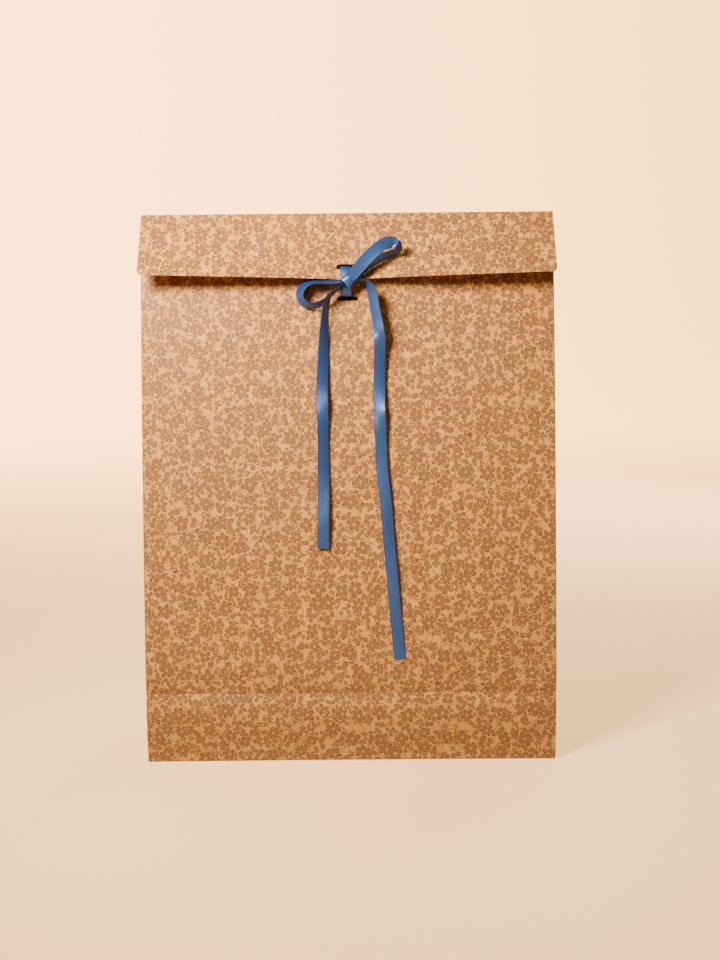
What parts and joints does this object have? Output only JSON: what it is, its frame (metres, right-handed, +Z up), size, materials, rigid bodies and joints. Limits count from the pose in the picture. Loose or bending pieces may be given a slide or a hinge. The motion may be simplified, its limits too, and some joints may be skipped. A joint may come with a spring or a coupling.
{
  "type": "gift bag",
  "caption": "Free-standing kraft paper gift bag with side gussets, a block base, a fold-over flap and a satin ribbon bow threaded through slots.",
  "frame": {"origin": "on the floor under the middle of the base", "axes": "+Z up, the front with the bow faces -Y, +X to the right seen from the front"},
  "size_m": [0.2402, 0.0802, 0.3182],
  "materials": {
    "kraft_paper": "printed semi-gloss kraft, small floral in mauve-brown ink",
    "plain_kraft": "uncoated kraft, bare inside and on the base folds",
    "satin_ribbon": "woven satin with a fine selvedge"
  },
  "bodies": {
    "base": {"front_base_strip": "kraft_paper", "base_front_flap": "plain_kraft", "base_rear_flap": "plain_kraft", "base_left_tuck": "plain_kraft", "base_right_tuck": "plain_kraft", "left_gusset_base_triangle": "kraft_paper", "right_gusset_base_triangle": "kraft_paper", "left_gusset_front_corner": "kraft_paper", "right_gusset_front_corner": "kraft_paper"},
    "back": {"back_panel": "kraft_paper", "side_seam_tab": "plain_kraft", "left_gusset_rear_leaf": "kraft_paper", "right_gusset_rear_leaf": "kraft_paper"},
    "front": {"front_panel": "kraft_paper", "left_gusset_front_leaf": "kraft_paper", "right_gusset_front_leaf": "kraft_paper", "ribbon_inner_run": "satin_ribbon", "ribbon_upper_strand": "satin_ribbon", "ribbon_lower_strand": "satin_ribbon", "ribbon_knot": "satin_ribbon", "ribbon_left_loop": "satin_ribbon", "ribbon_right_loop": "satin_ribbon", "ribbon_left_tail": "satin_ribbon", "ribbon_right_tail": "satin_ribbon"},
    "flap": {"closing_flap": "kraft_paper"}
  },
  "joints": [
    {"name": "flap_fold", "type": "hinge", "parent": "back", "child": "flap", "pos_m": [0, 0, 0.31842], "axis": [-1, 0, 0], "range_deg": [0, 170], "deforming": ["ribbon_upper_strand", "ribbon_knot", "ribbon_left_loop", "ribbon_right_loop", "ribbon_right_tail", "ribbon_left_tail", "ribbon_lower_strand"]},
    {"name": "front_mouth_swing", "type": "hinge", "parent": "base", "child": "front", "pos_m": [0, -0.03857, 0.04097], "axis": [1, 0, 0], "range_deg": [0, 5.5]},
    {"name": "back_mouth_swing", "type": "hinge", "parent": "base", "child": "back", "pos_m": [0, 0.04, 0], "axis": [-1, 0, 0], "range_deg": [0, 5]}
  ],
  "couplings": [
    {"joint": "front_mouth_swing", "follows": "flap_fold", "ratio": 0.032353},
    {"joint": "back_mouth_swing", "follows": "flap_fold", "ratio": 0.029412}
  ]
}
